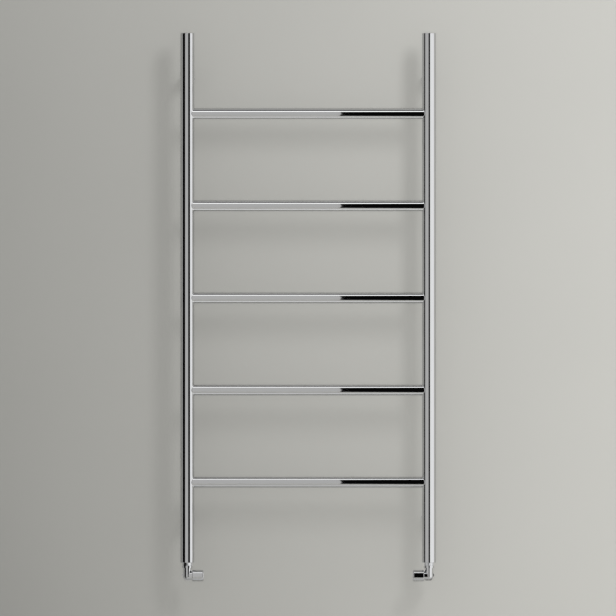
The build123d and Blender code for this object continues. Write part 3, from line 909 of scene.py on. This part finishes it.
@dataclass
class Valve:
    """Nuts and head of the corner valve at the foot of one post."""

    side: Side
    posts: Posts
    axis_height: float = -630.0116
    branch: float = 1.0
    head_start: float = 11.2
    head_end: float = 37.1
    head_floor: float = 34.1
    head_outer: float = 13.0116
    head_bore: float = 10.5116
    head_round: float = 3.2
    head_rim: float = 1.1
    head_segments: int = 128
    screw: float = 2.0
    screw_ends: tuple[float, float] = (14.0116, 10.0116)
    screw_place: float = 29.7
    union_flats: Flats = Flats(sides=6, across=20.8232, low=23.0116, high=29.5116, chamfer=1.0, corner=90.0,
                               soften=2.0)
    union_low: float = 17.5116
    union_lip: float = 27.3116
    union_bore: float = 9.3116
    union_neck: float = 6.75
    union_skirt: float = 11.7116
    pipe_flats: Flats = Flats(sides=6, across=24.0, low=18.5116, high=35.1116, chamfer=1.0, corner=0.0,
                              soften=0.8)
    pipe_lip: float = 31.1116
    pipe_bore: float = 10.5
    pipe_hole: float = 7.6
    nut_edge: float = 0.16
    nut_segments: int = 192

    @property
    def place(self) -> Triple:
        """Crossing of the post axis and the valve axis."""
        x, y, _ = self.posts.at(self.side)
        return x, y, self.axis_height

    def head(self) -> None:
        """Build the handwheel of the flow valve or the shield cap of the return valve."""
        section = [(self.head_end, 0.0), (self.head_end, self.head_outer),
                   (self.head_start, self.head_outer), (self.head_start, self.head_bore),
                   (self.head_floor, self.head_bore), (self.head_floor, 0.0)]
        shape = Shape.turned(section, self.head_segments)
        shape.ease(self.head_round, segments=10, where=lambda mid: mid.z > self.head_end - TOUCH)
        shape.ease(self.head_rim, segments=5, where=lambda mid: mid.z < self.head_start + TOUCH)
        shape.moved(self.place, self.side.inward)
        node, body = "return_shield_cap", "return_cap"
        if self.side is Side.LEFT:
            node, body = "flow_handwheel", "flow_wheel"
            x, y, z = self.place
            shape.cut(Shape.drill(self.screw, self.screw_ends).moved((x + self.screw_place, y, z)))
        shape.piece(f"{node}_shell", FITTING_CHROME, body, "chrome_fitting", node)

    def nut(self, name: str, section: Outline, flats: Flats, at: Triple, axis: Axis) -> None:
        """Build a nut.

        Args:
            name: What the nut holds, in its node's name.
            section: Its section, with the flank of its flats.
            flats: Its flats.
            at: Where its origin goes.
            axis: Where it points.
        """
        shape = flats.press(Shape.turned(section, self.nut_segments))
        shape.ease(self.nut_edge, segments=2, above=NUT_CREASE).moved(at, axis)
        node = f"{self.side.loop}_{name}_nut"
        shape.piece(f"{node}_hex", FITTING_CHROME, "rack", "chrome_fitting", node)

    def union_nut(self) -> None:
        """Build the nut under the post: a hexagon with a round skirt below it."""
        flats = self.union_flats
        section = [(self.union_low, self.union_bore), (self.union_low, self.union_skirt),
                   (flats.low, self.union_skirt)]
        section += flats.flank()
        section += [(flats.high, self.union_neck), (self.union_lip, self.union_neck),
                    (self.union_lip, self.union_bore)]
        self.nut("union", section, flats, self.place, Axis.Z)

    def pipe_nut(self) -> None:
        """Build the nut that holds the pipe at the back."""
        flats = self.pipe_flats
        section = [(flats.low, self.pipe_bore)] + flats.flank()
        section += [(flats.high, self.pipe_hole), (self.pipe_lip, self.pipe_hole),
                    (self.pipe_lip, self.pipe_bore)]
        x, y, z = self.place
        self.nut("pipe", section, flats, (x - self.side.value * self.branch, y, z), Axis.Y)

    def build(self) -> None:
        """Build the valve's outer pieces and dress them."""
        self.head()
        self.union_nut()
        self.pipe_nut()


@dataclass
class KeptNodes:
    """Nodes of the frame that stay as they are and get a finish."""

    finishes: dict[str, Finish] = field(default_factory=lambda: SLOT_FINISHES)

    def dress(self) -> None:
        """Give every node that still shows the finish of its slot."""
        for name, node in sorted(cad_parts.items()):
            if node.hide_render:
                continue
            slot = node.data.materials[0].name.split(".")[0]
            node.data.materials[0] = self.finishes[slot].material()
            LOG.info("%s: kept, finish %s", name, self.finishes[slot].name)


@dataclass(frozen=True)
class Paint:
    """Matt wall or floor paint with a faint roller texture, clear when seen from its back.

    It has its colour at a level of a half. The level changes across it, as far as fade to each side of the
    middle, and diagonally: this change is painted light, lighter and darker as lamps would light the sheet.
    Reflections show only a share of its level, a painted shade that makes it look darker in them, and those
    that start nearer than open_within look through it.
    """

    name: str
    colour: Triple
    across: float = 0.0
    painted_light_slant: float = 0.0
    shaded_reflection_share: float = 1.0
    open_within: float = 0.0
    fade: float = 0.85
    middle: float = 0.48
    dimmest: float = 0.05
    cloud_scale: float = 1.6
    cloud_share: float = 0.04
    stipple_scale: float = 420.0
    smooth: float = 0.82
    rough: float = 0.92
    gloss: float = 0.1
    relief: float = 6e-5
    relief_share: float = 0.5

    def level(self, graph: Graph) -> Value:
        """Level of the paint over its sheet, which is painted light with a random cloud over it.

        Args:
            graph: Tree to build in.

        Returns:
            The level, from the dimmest to 1.
        """
        coordinates = graph.node("ShaderNodeTexCoord").outputs["Object"]
        split = graph.node("ShaderNodeSeparateXYZ", None, {0: coordinates})
        x, z = Value(graph, split.outputs["X"]), Value(graph, split.outputs["Z"])
        x = x.at_least(-self.fade).at_most(self.fade)
        cloud = graph.noise(self.cloud_scale)
        # Painted light: the sheet is lighter on one side and changes diagonally, as lamps light it unevenly;
        # the cloud is a random mottle of the paint.
        level = x * self.across + x * z * self.painted_light_slant + cloud * self.cloud_share + self.middle
        return level.at_least(self.dimmest).at_most(1.0)

    def material(self) -> bpy.types.Material:
        """The paint as a material.

        Returns:
            The node material.
        """
        made = bpy.data.materials.new(self.name)
        made.use_nodes = True
        graph = Graph(made.node_tree)
        path = graph.node("ShaderNodeLightPath").outputs
        glossy = Value(graph, path["Is Glossy Ray"])
        # Painted shade: glossy rays see the sheet darker than it is.
        level = self.level(graph) * (1.0 - glossy * (1.0 - self.shaded_reflection_share))
        stipple = graph.noise(self.stipple_scale, detail=3.0)
        inputs = {
            "Base Color": graph.blend(level, (0.0, 0.0, 0.0), tuple(2 * part for part in self.colour)),
            "Roughness": stipple * (self.rough - self.smooth) + self.smooth,
            "Normal": graph.bump(stipple, self.relief, self.relief_share),
            "Specular IOR Level": self.gloss,
        }
        shader = graph.node("ShaderNodeBsdfPrincipled", None, inputs).outputs["BSDF"]
        back = Value(graph, graph.node("ShaderNodeNewGeometry").outputs["Backfacing"])
        near = glossy * Value(graph, path["Ray Length"]).below(self.open_within)
        clear = graph.node("ShaderNodeBsdfTransparent").outputs[0]
        inputs = {0: back.at_least(near), 1: shader, 2: clear}
        graph.surface(graph.node("ShaderNodeMixShader", None, inputs).outputs[0])
        return made


@dataclass(frozen=True)
class Panel:
    """A plain panel that only reflections show, given by an edge and the way to the opposite one, in metres.

    Its level is its brightness. Where it has a far level, the brightness goes over to that between the two
    distances in reach.
    """

    name: str
    start: Triple
    end: Triple
    onward: Triple
    level: float
    far_level: float | None = None
    reach: tuple[float, float] = (0.75, 1.9)

    def corners(self) -> list[Vector]:
        """Corners in order."""
        start, end, onward = Vector(self.start), Vector(self.end), Vector(self.onward)
        return [start, end, end + onward, start + onward]

    def material(self) -> bpy.types.Material:
        """The panel's even glow as a material.

        Returns:
            The node material.
        """
        made = bpy.data.materials.new(self.name)
        made.use_nodes = True
        graph = Graph(made.node_tree)
        shade = (self.level, self.level, self.level, 1.0)
        if self.far_level is not None:
            length = Value(graph, graph.node("ShaderNodeLightPath").outputs["Ray Length"])
            shade = graph.blend(length.step(*self.reach), (self.level,) * 3, (self.far_level,) * 3)
        glow = graph.node("ShaderNodeEmission", None, {"Color": shade, "Strength": 1.0})
        graph.surface(glow.outputs[0])
        return made


FLOOR = -1.45
SKIRTING = FLOOR + 0.01
CEILING = 1.39
WIDE = 2.2
FRONT_PANELS = (
    Panel("dark_front_panel", (0.0854, -1.49, FLOOR), (0.507, -0.790, FLOOR), (0.0, 0.0, 2.65), 0.002),
    Panel("dark_left_panel", (-0.538, -0.476, FLOOR), (-0.56, -0.12, FLOOR), (0.0, 0.0, 4.05), 0.004),
    Panel("bright_right_panel", (0.514, -0.797, FLOOR), (2.6, -0.06, FLOOR), (0.0, 0.0, 4.05), 0.92),
    Panel("bright_strip", (-WIDE, -1.12, 1.19), (WIDE, -1.12, 1.19), (0.0, 0.30, 0.19), 1.5),
    Panel("dark_ceiling", (-WIDE, -0.80, CEILING), (WIDE, -0.80, CEILING), (0.0, 0.49, 0.0), 0.0, 0.14),
    Panel("dim_ceiling", (-WIDE, -0.31, CEILING), (WIDE, -0.31, CEILING), (0.0, 0.27, 0.0), 0.36),
    Panel("bright_skirting", (-WIDE, -0.50, SKIRTING), (WIDE, -0.50, SKIRTING), (0.0, 0.49, 0.0), 0.46, 1.15),
)
# These stand behind the wall, and only the back of the rack reflects them.
BACK_PANELS = (
    Panel("back_bright", (-1.60, 4.0, -1.60), (1.75, 4.0, -1.60), (0.0, 0.0, 3.30), 0.85),
    Panel("back_dark", (-2.75, 4.1, -2.80), (2.85, 4.1, -2.80), (0.0, 0.0, 5.55), 0.06),
    Panel("back_grey", (-9.0, 4.2, -8.0), (9.0, 4.2, -8.0), (0.0, 0.0, 16.0), 0.30),
)


@dataclass
class Studio:
    """Wall, floor, soft light, and the panels that the chrome reflects."""

    # The wall's colour carries painted light, lighter to the right where the key lamp stands and changing
    # diagonally, and painted shade where reflections see it.
    wall_paint_with_painted_light: Paint = Paint("wall_paint_with_painted_light", (0.440, 0.438, 0.415), across=0.17, painted_light_slant=-0.05, shaded_reflection_share=0.78,
                              open_within=0.080)
    floor_paint: Paint = Paint("floor_paint", (0.660, 0.655, 0.640))
    panels: tuple[Panel, ...] = FRONT_PANELS + BACK_PANELS
    half_width: float = 4.0
    wall_gap: float = 0.0005
    wall_top: float = 3.0
    floor_front: float = -3.2
    light_colour: Triple = (1.0, 0.995, 0.985)
    room_grey: float = 0.50
    soft_light: float = 0.56
    backdrop: float = 0.72
    fill_power: float = 365.0
    fill_size: tuple[float, float] = (0.4, 0.4)
    fill_place: Triple = (0.0, -10.0, -0.02)
    key_power: float = 22.0
    key_size: tuple[float, float] = (0.6, 1.2)
    key_place: Triple = (1.39, -2.2, 1.85)

    def sheet(self, name: str, corners: Sequence[Triple | Vector],
              material: bpy.types.Material) -> bpy.types.Object:
        """One flat sheet of the studio, which isn't part of the object.

        Args:
            name: Name of the sheet.
            corners: Its corners in order, in metres.
            material: What it is painted with.

        Returns:
            The sheet.
        """
        mesh = bmesh.new()
        mesh.faces.new([mesh.verts.new(corner) for corner in corners])
        data = bpy.data.meshes.new(name)
        mesh.to_mesh(data)
        mesh.free()
        data.materials.append(material)
        made = bpy.data.objects.new(name, data)
        bpy.context.scene.collection.objects.link(made)
        return made

    def surroundings(self) -> None:
        """Set up the wall, the floor and the panels."""
        side, back, top, front = self.half_width, self.wall_gap, self.wall_top, self.floor_front
        wall = [(-side, back, FLOOR), (side, back, FLOOR), (side, back, top), (-side, back, top)]
        self.sheet("wall", wall, self.wall_paint_with_painted_light.material())
        floor = [(-side, front, FLOOR), (side, front, FLOOR), (side, 0.0, FLOOR), (-side, 0.0, FLOOR)]
        self.sheet("floor", floor, self.floor_paint.material())
        for panel in self.panels:
            made = self.sheet(panel.name, panel.corners(), panel.material())
            made.visible_camera = made.visible_diffuse = made.visible_shadow = False
            made.visible_transmission = made.visible_volume_scatter = False

    def world(self) -> None:
        """Even light from all round, and a plain grey room for reflections."""
        world = bpy.data.worlds.new("studio")
        world.use_nodes = True
        bpy.context.scene.world = world
        graph = Graph(world.node_tree)
        path = graph.node("ShaderNodeLightPath").outputs
        glossy, seen = Value(graph, path["Is Glossy Ray"]), Value(graph, path["Is Camera Ray"])
        level = (glossy * (self.room_grey - self.soft_light) + seen * (self.backdrop - self.soft_light)
                 + self.soft_light)
        inputs = {"Color": (*self.light_colour, 1.0), "Strength": level}
        shade = graph.node("ShaderNodeBackground", None, inputs)
        graph.node("ShaderNodeOutputWorld", None, {"Surface": shade.outputs[0]})

    def lamp(self, name: str, place: Triple, size: tuple[float, float], power: float) -> None:
        """A soft lamp that faces the middle of the rack and doesn't show in reflections.

        Args:
            name: Name of the lamp.
            place: Where it stands, in metres.
            size: Its width and height, in metres.
            power: Its power, in watts.
        """
        lamp = bpy.data.lights.new(name, "AREA")
        lamp.shape, lamp.energy = "RECTANGLE", power
        lamp.size, lamp.size_y = size
        made = bpy.data.objects.new(name, lamp)
        made.location = place
        made.rotation_euler = (-Vector(place)).to_track_quat("-Z", "Y").to_euler()
        made.visible_glossy = False
        bpy.context.scene.collection.objects.link(made)

    def build(self) -> None:
        """Set up the studio."""
        self.surroundings()
        self.world()
        self.lamp("key", self.key_place, self.key_size, self.key_power)
        self.lamp("fill", self.fill_place, self.fill_size, self.fill_power)
        bpy.context.scene.view_settings.view_transform = "Standard"


@dataclass
class FrontCamera:
    """Long lens square on to the rack, with the width of its view in the plane of the posts."""

    distance: float = 10.0
    plane: float = -0.075
    width: float = 1.3973
    sensor: float = 36.0
    centre: tuple[float, float] = (-0.0003, -0.0230)
    sight: float = 100.0

    def build(self) -> None:
        """Set up the camera as the scene's own."""
        data = bpy.data.cameras.new("front")
        data.sensor_width = self.sensor
        data.lens = self.sensor * self.distance / self.width
        data.clip_end = self.sight
        made = bpy.data.objects.new("front", data)
        x, z = self.centre
        made.location = (x, self.plane - self.distance, z)
        made.rotation_euler = (math.radians(90), 0.0, 0.0)
        bpy.context.scene.collection.objects.link(made)
        bpy.context.scene.camera = made


def main() -> None:
    """Build the towel warmer's pieces, finishes, studio and camera in order."""
    logging.basicConfig(level=logging.INFO, format="%(name)s: %(message)s")
    posts = Posts()
    posts.build()
    Rails(posts).build()
    Brackets(posts).build()
    Vent(posts).build()
    for side in Side:
        Valve(side, posts).build()
    KeptNodes().dress()
    Studio().build()
    FrontCamera().build()


if __name__ == "__main__":
    main()
